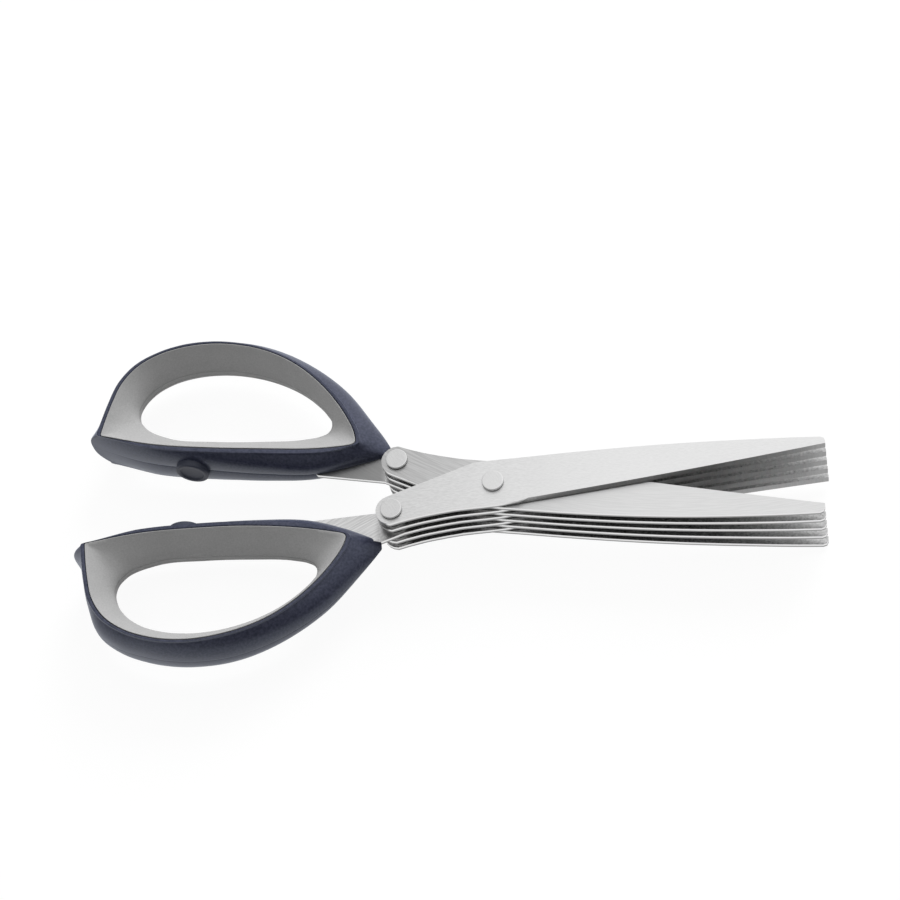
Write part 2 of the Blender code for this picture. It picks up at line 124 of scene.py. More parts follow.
# The painted shade of the arc-brushed blades changes over this run at the stack's end, by these shares.
STACK_END_RUN = (-0.0325, -0.0300)
PAINTED_SHADE_SHARE = 0.43
THUMB_PAINTED_SHADE_SHARE = 0.38
# Painted light: steel is lightened towards the tips over this run, by this share.
TIP_RUN = (-0.045, 0.045)
TIP_PAINTED_LIGHT = 0.56
GROUND_LINES = (3000.0, 0.1)
GROUND_ROUGHNESS = (0.25, 0.45)
GROUND_RELIEF = (0.15, 0.00002)
TUMBLED_GRAIN = (1500.0, 3.0, 2.2)
TUMBLED_CLOUD = (300.0, 0.3, 0.8)
TUMBLED_ROUGHNESS = (0.22, 0.42)
TUMBLED_RELIEF = (0.3, 0.00003)
FOOT_RUN = (0.40, 0.70)
FACE_RUN = (0.3, 0.8)


class Shade:
    """A socket of the material that is being made. Sums written with it add Math nodes."""

    tree = None

    def __init__(self, socket):
        self.socket = socket

    @classmethod
    def node(cls, kind, settings=(), inputs=(), output=0):
        """Add a node, set it, fill its sockets and return one of its outputs."""
        made = cls.tree.nodes.new(kind)
        for name, value in dict(settings).items():
            setattr(made, name, value)
        for name, value in dict(inputs).items():
            if isinstance(value, Shade):
                cls.tree.links.new(value.socket, made.inputs[name])
            else:
                made.inputs[name].default_value = value
        return cls(made.outputs[output])

    def maths(self, operation, *others):
        """Return what a Math node makes of this and the others."""
        return self.node("ShaderNodeMath", {"operation": operation}, enumerate((self, *others)))

    def __add__(self, other):
        return self.maths("ADD", other)

    def __sub__(self, other):
        return self.maths("SUBTRACT", other)

    def __mul__(self, other):
        return self.maths("MULTIPLY", other)

    def __rsub__(self, other):
        return self * -1 + other

    __radd__ = __add__
    __rmul__ = __mul__

    def ramp(self, low, high):
        """Return 0 below low and 1 above high, turning smoothly between them."""
        settings = {"interpolation_type": "SMOOTHSTEP"}
        limits = {"Value": self, "From Min": low, "From Max": high}
        return self.node("ShaderNodeMapRange", settings, limits)

    def swing(self, contrast):
        """Return how far a noise is above or below its middle, times a contrast."""
        return (self - 0.5) * contrast

    def spread(self, low, high):
        """Return a value from low to high for one from 0 to 1."""
        return self * (high - low) + low


def place():
    """Return the X, Y and Z of the point that is shaded."""
    point = Shade.node("ShaderNodeTexCoord", output="Object")
    return [Shade.node("ShaderNodeSeparateXYZ", (), {0: point}, axis) for axis in range(3)]


def facing_up():
    """Return how far the surface faces up or down, from 0 to 1."""
    normal = Shade.node("ShaderNodeTexCoord", output="Normal")
    return Shade.node("ShaderNodeSeparateXYZ", (), {0: normal}, 2).maths("ABSOLUTE")


def grain(x, y, z, scale, detail=2.0):
    """Return a noise value at a point whose parts may be stretched."""
    point = Shade.node("ShaderNodeCombineXYZ", (), {0: x, 1: y, 2: z})
    return Shade.node("ShaderNodeTexNoise", (), {"Vector": point, "Scale": scale, "Detail": detail})


def tint(share, first, second):
    """Return a colour between two colours."""
    settings = {"data_type": "RGBA"}
    return Shade.node("ShaderNodeMix", settings, {0: share, 6: first, 7: second}, 2)


def on_walls(colour):
    """Return a face's colour, but walls bright above and, as painted shade, darker at the foot."""
    foot = Shade.node("ShaderNodeAttribute", {"attribute_name": "foot"}, output="Fac")
    # Bright above, as blanking leaves the walls; the darker foot is painted shade from the gap below.
    bright_and_shaded_wall = tint(foot.ramp(*FOOT_RUN), WALL_BRIGHT, WALL_FOOT_SHADE)
    return tint(1 - facing_up().ramp(*FACE_RUN), colour, bright_and_shaded_wall)


def painted_light_ahead(colour, x):
    """Return a steel's colour, lighter towards the tips as painted light."""
    return tint(x.ramp(*TIP_RUN) * TIP_PAINTED_LIGHT, colour, WHITE)


def relief(height, strength, depth):
    """Return the normal of a surface with a relief."""
    fields = {"Strength": strength, "Distance": depth, "Height": height}
    return Shade.node("ShaderNodeBump", (), fields)


def finish(name, paint, **constants):
    """Return a material whose changing values come from a function, and the others from words."""
    made = bpy.data.materials.new(name)
    made.use_nodes = True
    Shade.tree = made.node_tree
    shader = made.node_tree.nodes["Principled BSDF"]
    for socket, value in constants.items():
        shader.inputs[socket.replace("_", " ")].default_value = value
    for socket, value in paint().items():
        made.node_tree.links.new(value.socket, shader.inputs[socket])
    return made


def brush_marks(x, y, z, along, across, streaks):
    """Return the fine streaks of brushing, all its streaks and the colour that they give."""
    scale, stretch, contrast = streaks
    broad_scale, broad_stretch = BROAD_STREAKS
    cloud_scale, cloud_contrast = STEEL_CLOUD
    fine = grain(along * stretch, across, z, scale)
    broad = grain(along * broad_stretch, across, z, broad_scale)
    cloud = grain(x, y, z, cloud_scale)
    streak = fine * (1 - BROAD_SHARE) + broad * BROAD_SHARE
    share = streak.swing(contrast) + cloud.swing(cloud_contrast) + 0.5
    return fine, streak, tint(share, STEEL_DARK, STEEL_LIGHT)


def brushed(colour, x, fine, streak):
    """Return the paint of a brushed face, with painted light ahead and painted shade at the walls' feet.
    """
    return {
        "Base Color": on_walls(painted_light_ahead(colour, x)),
        "Roughness": streak.spread(*BRUSHED_ROUGHNESS),
        "Normal": relief(fine, *BRUSHED_RELIEF),
    }


def brushed_along():
    """Return the paint of the front blade, which is brushed along its length."""
    x, y, z = place()
    fine, streak, colour = brush_marks(x, y, z, x, y, LONG_STREAKS)
    return brushed(colour, x, fine, streak)


def brushed_round(half):
    """Return the paint of a half's blades, brushed in arcs round its centre, with painted shade."""
    def paint():
        x, y, z = place()
        turned_over = half == "thumb"
        east = x - ARC_CENTRE[0]
        north = y * (-1 if turned_over else 1) + ARC_CENTRE[1]
        across = (east * east + north * north).maths("SQRT")
        along = east.maths("ARCTAN2", north) * ARC_CENTRE[1]
        fine, streak, colour = brush_marks(x, y, z, along, across, ARC_STREAKS)
        # Painted shade and painted reflection: the finger half's steel is darker ahead of the stack's
        # end, the thumb half's behind it, where the tangs lie, and a little all over.
        ahead = x.ramp(*STACK_END_RUN)
        if turned_over:
            painted_shade = (1 - ahead) * PAINTED_SHADE_SHARE + THUMB_PAINTED_SHADE_SHARE
        else:
            painted_shade = ahead * PAINTED_SHADE_SHARE
        return brushed(tint(painted_shade, colour, STEEL_PAINTED_SHADE), x, fine, streak)
    return paint


def ground():
    """Return the paint of a blade's ground side."""
    x, y, z = place()
    scale, stretch = GROUND_LINES
    lines = grain(x, y * stretch, z * stretch, scale)
    return {
        "Base Color": tint(lines, GROUND_DARK, GROUND_LIGHT),
        "Roughness": lines.spread(*GROUND_ROUGHNESS),
        "Normal": relief(lines, *GROUND_RELIEF),
    }


def tumbled_and_shaded():
    """Return the paint of the blades' inner faces, from the tumbler and not brushed, darker as painted
    shade.
    """
    x, y, z = place()
    scale, detail, contrast = TUMBLED_GRAIN
    cloud_scale, cloud_stretch, cloud_contrast = TUMBLED_CLOUD
    fine = grain(x, y, z, scale, detail)
    cloud = grain(x * cloud_stretch, y, z, cloud_scale)
    share = fine.swing(contrast) + cloud.swing(cloud_contrast) + 0.5
    return {
        "Base Color": on_walls(tint(share, SHADED_INNER_DARK, SHADED_INNER_LIGHT)),
        "Roughness": fine.spread(*TUMBLED_ROUGHNESS),
        "Normal": relief(fine, *TUMBLED_RELIEF),
    }


def only(piece):
    """Make a piece the only one that is selected, and active."""
    bpy.ops.object.select_all(action="DESELECT")
    piece.select_set(True)
    bpy.context.view_layer.objects.active = piece


def copy_of(node, name):
    """Return a merged copy of a CAD node's mesh as a new piece."""
    piece = bpy.data.objects.new(name, frame["nodes"][node].data.copy())
    bpy.context.scene.collection.objects.link(piece)
    piece.data.materials.clear()
    only(piece)
    bpy.ops.object.mode_set(mode="EDIT")
    bpy.ops.mesh.select_all(action="SELECT")
    bpy.ops.mesh.remove_doubles(threshold=MERGE)
    bpy.ops.mesh.customdata_custom_splitnormals_clear()
    bpy.ops.mesh.tris_convert_to_quads(face_threshold=math.radians(LEVEL_ANGLE), shape_threshold=math.pi)
    bpy.ops.object.mode_set(mode="OBJECT")
    return piece


def cut_across(piece, x):
    """Cut the faces of a piece at a place along X, so that they can differ ahead and behind."""
    only(piece)
    bpy.ops.object.mode_set(mode="EDIT")
    bpy.ops.mesh.select_all(action="SELECT")
    bpy.ops.mesh.bisect(plane_co=(x, 0, 0), plane_no=(1, 0, 0))
    bpy.ops.object.mode_set(mode="OBJECT")


def break_edges(piece, width, segments, angle, small):
    """Bevel a piece's sharp edges, and shade it smooth, but flat where its faces are large.

    The weights are found in millimetres, because a metre's are too small for the modifier.
    """
    only(piece)
    bevel = piece.modifiers.new("edges", "BEVEL")
    bevel.width = width
    bevel.segments = segments
    bevel.limit_method = "ANGLE"
    bevel.angle_limit = math.radians(angle)
    bevel.use_clamp_overlap = True
    bpy.ops.object.modifier_apply(modifier=bevel.name)
    bpy.ops.object.shade_smooth()
    piece.data.transform(Matrix.Scale(MILLIMETRES, 4))
    weighted = piece.modifiers.new("flats", "WEIGHTED_NORMAL")
    weighted.weight = 100
    weighted.thresh = small
    bpy.ops.object.modifier_apply(modifier=weighted.name)
    piece.data.transform(Matrix.Scale(1 / MILLIMETRES, 4))


def mark_feet(piece):
    """Give each corner of the walls of a piece 1 at the foot and 0 above."""
    foot = piece.data.attributes.new("foot", "FLOAT", "CORNER")
    for face in piece.data.polygons:
        for corner in face.loop_indices:
            point = piece.data.vertices[piece.data.loops[corner].vertex_index].co
            low = abs(face.normal.z) < WALL_SLOPE and point.z < face.center.z
            foot.data[corner].value = float(low)


def settle(piece, node, body, slot, *surfaces):
    """Give a piece its surfaces, and let it stand for a CAD node on its body."""
    for surface in surfaces:
        piece.data.materials.append(surface)
    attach(piece, body)
    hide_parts(node)


ground_steel = finish("ground_edge", ground, Metallic=1.0)
tumbled_shaded_steel = finish("tumbled_shaded_steel", tumbled_and_shaded, Metallic=1.0)
steel_front = finish("brushed_along", brushed_along, Metallic=1.0)
steel_finger = finish("brushed_finger", brushed_round("finger"), Metallic=1.0)
steel_thumb = finish("brushed_thumb", brushed_round("thumb"), Metallic=1.0)
for half, surface in (("finger", steel_finger), ("thumb", steel_thumb)):
    nodes = [f"{half}_blade_{number}" for number in range(1, 6)]
    lowest, highest = (pick(nodes, key=lambda node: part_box(node)[1].z) for pick in (min, max))
    stack_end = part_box(nodes[0])[0].x
    for node in nodes:
        blade = copy_of(node, f"brushed_{node}")
        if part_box(node)[0].x < stack_end - EDGE_BREAK:
            cut_across(blade, stack_end)
        for face in blade.data.polygons:
            slope = abs(face.normal.z)
            outermost = highest if face.normal.z > 0 else lowest
            if GROUND_SLOPE[0] < slope < GROUND_SLOPE[1]:
                face.material_index = GROUND
            # Flat faces between the blades take the darker steel, whose darkness is painted shade.
            elif slope > FLAT_SLOPE and node != outermost and face.center.x >= stack_end:
                face.material_index = TUMBLED_SHADED
            else:
                face.material_index = BRUSHED
        break_edges(blade, EDGE_BREAK, EDGE_STEPS, BLADE_SHARP, SMALL_FACE)
        mark_feet(blade)
        flats = steel_front if node == "finger_blade_1" else surface
        settle(blade, node, f"{half}_half", "blade_steel", flats, ground_steel, tumbled_shaded_steel)


# Eight washers of the same steel on the rear rivets, turned from rod. They keep the blades of a
# set apart, and they are seen only between the blades.
TURNED_SHARP = 40
for half in ("finger", "thumb"):
    for number in range(1, 5):
        node = f"{half}_spacer_{number}"
        washer = copy_of(node, f"turned_{node}")
        break_edges(washer, EDGE_BREAK, EDGE_STEPS, TURNED_SHARP, SMALL_FACE)
        settle(washer, node, f"{half}_half", "blade_steel", steel_finger)


# Three rivets of bright steel: one through all ten blades at the pivot, and one through the rear
# of each set. Their flat heads are pressed on, with a small round at the rim and a fine grain.
# Each is listed with the body that it rides on and the radius of its shank.
RIVETS = (
    ("pivot_rivet", "finger_half", 0.0020),
    ("finger_rear_rivet", "finger_half", 0.0018),
    ("thumb_rear_rivet", "thumb_half", 0.0018),
)
TURNED_SIDES = 96
HEAD_RADIUS = 0.00285
HEAD_HEIGHT = 0.0008
HEAD_ROUND = 0.00008
HEAD_ROUND_STEPS = 3
HEAD_RIM = (0.00030, 0.00006)
SMALL_RIM = 0.01
HEAD_DARK = (0.62, 0.62, 0.62, 1)
HEAD_LIGHT = (0.76, 0.76, 0.76, 1)
# The rim's bright colour is a painted highlight.
RIM_PAINTED_HIGHLIGHT = (0.92, 0.92, 0.92, 1)
RIM_START = (0.80, 0.94)
RIM_END = (0.975, 0.995)
MOTTLE = (2600.0, 3.0)
SCRATCH = (3400.0, 0.12)
SCRATCH_SLANT = 0.8
HEAD_CONTRAST = 2.4
HEAD_ROUGHNESS = (0.28, 0.48)
HEAD_RELIEF = (0.2, 0.00002)


def turn_up(name, profile):
    """Return a piece spun about the Z axis from a profile of radii and heights."""
    mesh = bpy.data.meshes.new(name)
    points = [(radius, 0, height) for radius, height in profile]
    mesh.from_pydata(points, [(step, step + 1) for step in range(len(points) - 1)], [])
    piece = bpy.data.objects.new(name, mesh)
    bpy.context.scene.collection.objects.link(piece)
    only(piece)
    bpy.ops.object.mode_set(mode="EDIT")
    bpy.ops.mesh.select_all(action="SELECT")
    bpy.ops.mesh.spin(steps=TURNED_SIDES, angle=2 * math.pi, center=(0, 0, 0), axis=(0, 0, 1))
    bpy.ops.mesh.select_all(action="SELECT")
    bpy.ops.mesh.remove_doubles(threshold=MERGE)
    bpy.ops.mesh.normals_make_consistent(inside=False)
    bpy.ops.object.mode_set(mode="OBJECT")
    return piece


def move_mesh(piece, matrix):
    """Move a piece's mesh, so that its place is in the mesh."""
    piece.data.transform(matrix)
    piece.data.update()


def pressed():
    """Return the paint of a rivet's head, with a painted highlight on the slope at its rim."""
    x, y, z = place()
    scratch_scale, scratch_stretch = SCRATCH
    mottle = grain(x, y, z, *MOTTLE)
    scratch_across = x + y * SCRATCH_SLANT
    scratch_along = (y - x * SCRATCH_SLANT) * scratch_stretch
    scratch = grain(scratch_across, scratch_along, z, scratch_scale)
    share = mottle * 0.5 + scratch * 0.5
    colour = tint(share.swing(HEAD_CONTRAST) + 0.5, HEAD_DARK, HEAD_LIGHT)
    slope = facing_up()
    # A painted highlight on the slope at the rim.
    rim = slope.ramp(*RIM_START) * (1 - slope.ramp(*RIM_END))
    return {
        "Base Color": tint(rim, painted_light_ahead(colour, x), RIM_PAINTED_HIGHLIGHT),
        "Roughness": share.spread(*HEAD_ROUGHNESS),
        "Normal": relief(share, *HEAD_RELIEF),
    }


rivet_steel = finish("pressed_rivet", pressed, Metallic=1.0)
for node, body, shank in RIVETS:
    low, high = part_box(node)
    head = [(0, 0), (HEAD_RADIUS - HEAD_RIM[0], 0), (HEAD_RADIUS, HEAD_RIM[1]),
            (HEAD_RADIUS, HEAD_HEIGHT), (shank, HEAD_HEIGHT)]
    profile = [(radius, high.z - depth) for radius, depth in head]
    profile += [(radius, low.z + depth) for radius, depth in head[::-1]]
    rivet = turn_up(f"pressed_{node}", profile)
    move_mesh(rivet, Matrix.Translation(((low.x + high.x) / 2, (low.y + high.y) / 2, 0)))
    break_edges(rivet, HEAD_ROUND, HEAD_ROUND_STEPS, TURNED_SHARP, SMALL_RIM)
    settle(rivet, node, body, "rivet_steel", rivet_steel)


# Each handle is a hard shell of dark slate plastic, moulded round the tang. It has a narrow
# raised border round the insert, a crowned wall that meets it in a crease, and a fine parting
# line on its middle plane. The thumb half's is the finger half's turned over.
LOOP_FRONT = -0.0383
LOOP_OFFSET = 0.0110
LOOP_SIZE = (0.0714, 0.0344)
CROWN_FRONT = -0.0300
CROWN_OFFSET = 0.0076
CROWN_SIZE = (0.0840, 0.0404)

# Points of the line round the insert and of the wall's outermost line, from the rear corner along
# the inner side. They say how far behind the front and how far out from the inner side a point
# lies, as shares of a box's length and width. A corner has the reach of its round in metres.
LOOP = (
    (1.0, 0.157), (0.793, 0.071), (0.570, 0.031), (0.372, 0.017), (0.159, 0.028),
    (0.072, 0.048), (0.032, 0.061), (0.0, 0.078), (0.012, 0.181), (0.048, 0.328), (0.105, 0.497),
    (0.182, 0.669), (0.274, 0.815), (0.371, 0.913), (0.479, 0.976), (0.591, 1.0),
    (0.704, 0.977), (0.804, 0.912), (0.888, 0.798), (0.942, 0.643), (0.972, 0.450),
    (0.988, 0.299),
)
CROWN = (
    (1.0, 0.248), (0.790, 0.104), (0.592, 0.044), (0.408, 0.007), (0.241, 0.0),
    (0.113, 0.062), (0.004, 0.134), (0.0, 0.191), (0.021, 0.260), (0.065, 0.383), (0.162, 0.629),
    (0.259, 0.789), (0.360, 0.905), (0.456, 0.973), (0.550, 1.0), (0.639, 0.997),
    (0.728, 0.965), (0.828, 0.892), (0.891, 0.791), (0.921, 0.649), (0.947, 0.470),
    (0.967, 0.345),
)
LOOP_CORNERS = {0: 0.0009, 7: 0.0016}
CROWN_CORNERS = {0: 0.0006, 6: 0.0008, 7: 0.0003}
CORNER_PROBE = 0.1
SPAN_STEPS = 10
CLOSE_STEPS = 2
CORNER_STEPS = 10
LOOP_HALF_HEIGHT = 0.00776
NOSE_HALF_HEIGHT = 0.00596
TAPER = 0.45
BORDER_INNER = 0.0013
BORDER_OUTER = 0.0010
BORDER_TURN = 0.3
BORDER_ROUND = 0.00022
BORDER_ROUND_STEPS = 3
BORDER_PROUD = 0.00055
CREASE_OUT = 0.4 * BORDER_ROUND
CREASE_DROP = 1.25 * BORDER_PROUD
WALL_STEPS = 20
WALL_CLOSENESS = 1.6
WALL_POWER = 2.8
NOSE_POWERS = {5: 2.2, 6: 1.25, 7: 1.1, 8: 1.4, 9: 1.9, 10: 2.5}
WALL_TUCK = 0.00028
TUCK_POWER = 4
TUCK_START = (0.3, 1.3)
TUCK_END = (6.6, 5.2)
PART_LINE = (0.00012, 0.00005)
RING_SHARP = 35
SLATE = (0.023, 0.025, 0.047, 1)
SLATE_WORN = (0.052, 0.055, 0.090, 1)
SLATE_PARTING = (0.012, 0.014, 0.022, 1)
SLATE_GRAIN = (1500.0, 3.2)
SLATE_PATCH = (160.0, 3.0, 0.6)
SLATE_ROUGHNESS = (0.24, 0.44)
SLATE_PATCH_ROUGHNESS = 0.08
SLATE_RELIEF = (0.30, 0.00005)
PARTING_RUN = (0.00008, 0.00026)
PARTING_SHARE = 0.40


def part_way(value, start, end):
    """Return how far a value has come from the start to the end, from 0 to 1."""
    return min(max((value - start) / (end - start), 0), 1)


def in_box(shares, front, offset, size):
    """Return the points that shares of a box give, on the finger half's side."""
    return [Vector((front - rear * size[0], -(offset + out * size[1]))) for rear, out in shares]


def span_point(points, index, t, corners):
    """Return a point of the smooth closed line through the given ones."""
    count = len(points)
    after = (index + 1) % count
    start, end = points[index], points[after]
    before = start if index in corners else points[index - 1]
    beyond = end if after in corners else points[(index + 2) % count]
    run = end - start

    def slope(inner, outer):
        """Return the slope where a span meets the next one, each weighed by its length."""
        if not outer.length:
            return run
        return (inner * outer.length / inner.length + outer * inner.length / outer.length) * (
            run.length / (inner.length + outer.length))

    point = start * (2 * t**3 - 3 * t**2 + 1) + end * (3 * t**2 - 2 * t**3)
    point += slope(run, start - before) * (t**3 - 2 * t**2 + t)
    return point + slope(run, beyond - end) * (t**3 - t**2)


def rounded_line(points, corners, stations):
    """Return the line at stations counted in points, with its corners rounded."""
    count = len(points)

    def at(station):
        """Return the line's point at a station before its corners are rounded."""
        return span_point(points, int(station % count), station % 1, corners)

    line = []
    for station in stations:
        point = at(station)
        for corner, reach in corners.items():
            gap = (station - corner + count / 2) % count - count / 2
            if abs(gap) < 1:
                first, last = (reach * CORNER_PROBE / (at(corner + side) - points[corner]).length
                               for side in (-CORNER_PROBE, CORNER_PROBE))
                if -first < gap < last:
                    t = (gap + first) / (first + last)
                    start, end = at(corner - first), at(corner + last)
                    point = start * (1 - t) ** 2 + points[corner] * 2 * t * (1 - t) + end * t**2
        line.append(point)
    return line


def close_stations():
    """Return the stations of a handle's sections, closer together on each side of a corner."""
    stations = []
    for index in range(len(LOOP)):
        behind = index in CROWN_CORNERS
        ahead = (index + 1) % len(LOOP) in CROWN_CORNERS
        for step in range(SPAN_STEPS):
            close = (behind and step < CLOSE_STEPS) or (ahead and step >= SPAN_STEPS - CLOSE_STEPS)
            parts = CORNER_STEPS if close else 1
            stations += [index + step / SPAN_STEPS + part / parts / SPAN_STEPS for part in range(parts)]
    return stations


def half_height(point):
    """Return half the handle's thickness at a point of the line round the insert."""
    share = part_way(LOOP_FRONT - point.x, 0, LOOP_SIZE[0] * TAPER)
    share = share * share * (3 - 2 * share)
    return NOSE_HALF_HEIGHT + (LOOP_HALF_HEIGHT - NOSE_HALF_HEIGHT) * share


def both_sides(profile):
    """Close a half profile, drawn from the top down, with the same below the middle plane."""
    return profile + [Vector((p.x, p.y, -p.z)) for p in profile[::-1] if p.z > 0]


def on_half(half):
    """Return the matrix that takes what is drawn for the finger half to its place on a half."""
    turn = 0 if half == "finger" else math.pi
    return Matrix.Translation((0, 0, middle)) @ Matrix.Rotation(turn, 4, "X")


def ring(name, sections, half):
    """Return a ring-shaped piece through closed sections, for one half of the scissors."""
    work = bmesh.new()
    rows = [[work.verts.new(point) for point in section] for section in sections]
    for row, after in zip(rows, rows[1:] + rows[:1]):
        for step in range(len(row)):
            work.faces.new((row[step - 1], row[step], after[step], after[step - 1]))
    bmesh.ops.recalc_face_normals(work, faces=work.faces)
    mesh = bpy.data.meshes.new(name)
    work.to_mesh(mesh)
    work.free()
    piece = bpy.data.objects.new(name, mesh)
    bpy.context.scene.collection.objects.link(piece)
    move_mesh(piece, on_half(half))
    only(piece)
    bpy.ops.object.shade_smooth_by_angle(angle=math.radians(RING_SHARP))
    return piece


quarter_turn = [math.pi / 2 * step / BORDER_ROUND_STEPS for step in range(BORDER_ROUND_STEPS + 1)]
levels = [1 - (step / WALL_STEPS) ** WALL_CLOSENESS for step in range(WALL_STEPS + 1)]


def shell_section(station, rim, crown):
    """Return the closed section of the shell at one place round the loop."""
    before, after = int(station), int(station) + 1
    power = NOSE_POWERS.get(before, WALL_POWER)
    power += (NOSE_POWERS.get(after, WALL_POWER) - power) * (station - before)
    tuck = WALL_TUCK * min(part_way(station, *TUCK_START), part_way(station, *TUCK_END))
    high = half_height(rim)
    across = part_way(-rim.y - LOOP_OFFSET, 0, LOOP_SIZE[1] * BORDER_TURN)
    border = BORDER_INNER + (BORDER_OUTER - BORDER_INNER) * across
    out = (crown - rim).normalized()

    def at(distance, height):
        """Return the point at a distance out from the rim."""
        return Vector((*(rim + out * distance), height))

    profile = [at(BORDER_ROUND * (1 - math.cos(angle)), high - BORDER_ROUND * (1 - math.sin(angle)))
               for angle in quarter_turn]
    edge = border - BORDER_ROUND
    profile += [at(edge + BORDER_ROUND * math.sin(angle), high - BORDER_PROUD * (1 - math.cos(angle)))
                for angle in quarter_turn[1:]]
    foot = border + CREASE_OUT
    top = high - CREASE_DROP
    width = (crown - rim).length - foot
    bulges = [(1 - level**power) * width - tuck * (1 - level) ** TUCK_POWER for level in levels]
    distances = [foot + bulge * width / max(bulges) for bulge in bulges]
    profile += [at(distance, top * level) for level, distance in zip(levels, distances)
                if top * level > PART_LINE[0]]
    profile += [at(distances[-1], PART_LINE[0]), at(distances[-1] - PART_LINE[1], 0)]
    return both_sides(profile)


def slate():
    """Return the paint of the dark shell."""
    x, y, z = place()
    scale, contrast = SLATE_GRAIN
    patch_scale, patch_detail, patch_contrast = SLATE_PATCH
    fine = grain(x, y, z, scale)
    patch = grain(x, y, z, patch_scale, patch_detail)
    parting = 1 - (z - middle).maths("ABSOLUTE").ramp(*PARTING_RUN)
    colour = tint(fine.swing(contrast) + patch.swing(patch_contrast) + 0.5, SLATE, SLATE_WORN)
    return {
        "Base Color": tint(parting * PARTING_SHARE, colour, SLATE_PARTING),
        "Roughness": fine.spread(*SLATE_ROUGHNESS) + patch * SLATE_PATCH_ROUGHNESS,
        "Normal": relief(fine, *SLATE_RELIEF),
    }


stations = close_stations()
loop_line = rounded_line(in_box(LOOP, LOOP_FRONT, LOOP_OFFSET, LOOP_SIZE), LOOP_CORNERS, stations)
crown_line = rounded_line(in_box(CROWN, CROWN_FRONT, CROWN_OFFSET, CROWN_SIZE), CROWN_CORNERS, stations)
slate_plastic = finish("slate_plastic", slate, Specular_IOR_Level=0.6,
                       Specular_Tint=(0.80, 0.88, 1.0, 1), Sheen_Weight=0.35,
                       Sheen_Roughness=0.4, Sheen_Tint=(0.45, 0.56, 0.80, 1))
for half in ("finger", "thumb"):
    sections = [shell_section(*spot) for spot in zip(stations, loop_line, crown_line)]
    shell = ring(f"moulded_{half}_shell", sections, half)
    settle(shell, f"{half}_handle_shell", f"{half}_half", "slate_plastic", slate_plastic)


# The insert is a ring of soft grey rubber moulded into the shell. It has a narrow flat border and
# dips to a narrow throat, with the mould's parting line round it. The dip's own upper line has
# rounder corners than the shell's.
INSERT_GAP = 0.00022
INSERT_BORDER = 0.00015
INSERT_ROUND = 0.00008
INSERT_ROUND_POINTS = ((0, 1), (0.15, 0.3), (0.4, 0))
THROAT_FRONT = -0.0468
THROAT_OFFSET = 0.0174
THROAT_SIZE = (0.0546, 0.0230)
THROAT = (
    (0.963, 0.241), (0.819, 0.067), (0.575, 0.008), (0.342, 0.0), (0.132, 0.027),
    (0.051, 0.069), (0.018, 0.110), (0.001, 0.180), (0.002, 0.265), (0.037, 0.402), (0.097, 0.552),
    (0.176, 0.696), (0.269, 0.817), (0.370, 0.911), (0.489, 0.977), (0.615, 1.0),
    (0.738, 0.973), (0.845, 0.895), (0.927, 0.768), (0.979, 0.610), (1.0, 0.455),
    (0.991, 0.335),
)
DIP_STEPS = 18
DIP_POWER = 1.5
THROAT_BAND = 0.11
SOFT_CORNERS = {0: 0.0040, 7: 0.0030}
SOFT_DEPTH = 0.35
GREY = (0.46, 0.46, 0.46, 1)
GREY_DARK = (0.37, 0.37, 0.37, 1)
GREY_PARTING = (0.16, 0.16, 0.155, 1)
GREY_GRAIN = (2400.0, 1.8)
GREY_PATCH = (210.0, 3.0, 0.5)
GREY_MEAN = 0.6
GREY_ROUGHNESS = (0.55, 0.70)
GREY_RELIEF = (0.35, 0.00005)
BAND_RUN = (0.00005, 0.00018)
BAND_SHARE = 0.5


def drawn_in(line, distance):
    """Move a closed line inwards, square to itself. It runs clockwise, seen from above."""
    drawn = []
    for index, point in enumerate(line):
        along = (line[(index + 1) % len(line)] - line[index - 1]).normalized()
        drawn.append(point + Vector((along.y, -along.x)) * distance)
    return drawn


def insert_section(outer, inner, soft, throat, high):
    """Return the closed section of the insert at one place round the loop."""
    profile = [Vector((*outer.lerp(inner, across), high - INSERT_ROUND * drop))
               for across, drop in INSERT_ROUND_POINTS]
    for step in range(DIP_STEPS + 1):
        level = 1 - step / DIP_STEPS
        dip = max(level - THROAT_BAND, 0) / (1 - THROAT_BAND)
        wall = inner.lerp(soft, min((1 - level) / SOFT_DEPTH, 1))
        profile.append(Vector((*wall.lerp(throat, 1 - dip**DIP_POWER), high * level)))
    return both_sides(profile)


def rubber():
    """Return the paint of the grey insert."""
    x, y, z = place()
    scale, contrast = GREY_GRAIN
    patch_scale, patch_detail, patch_contrast = GREY_PATCH
    fine = grain(x, y, z, scale)
    patch = grain(x, y, z, patch_scale, patch_detail)
    edge = (z - middle).maths("ABSOLUTE") - LOOP_HALF_HEIGHT * THROAT_BAND
    parting = 1 - edge.maths("ABSOLUTE").ramp(*BAND_RUN)
    colour = tint(fine.swing(contrast) + patch.swing(patch_contrast) + GREY_MEAN, GREY_DARK, GREY)
    return {
        "Base Color": tint(parting * BAND_SHARE, colour, GREY_PARTING),
        "Roughness": fine.spread(*GREY_ROUGHNESS),
        "Normal": relief(fine - parting, *GREY_RELIEF),
    }


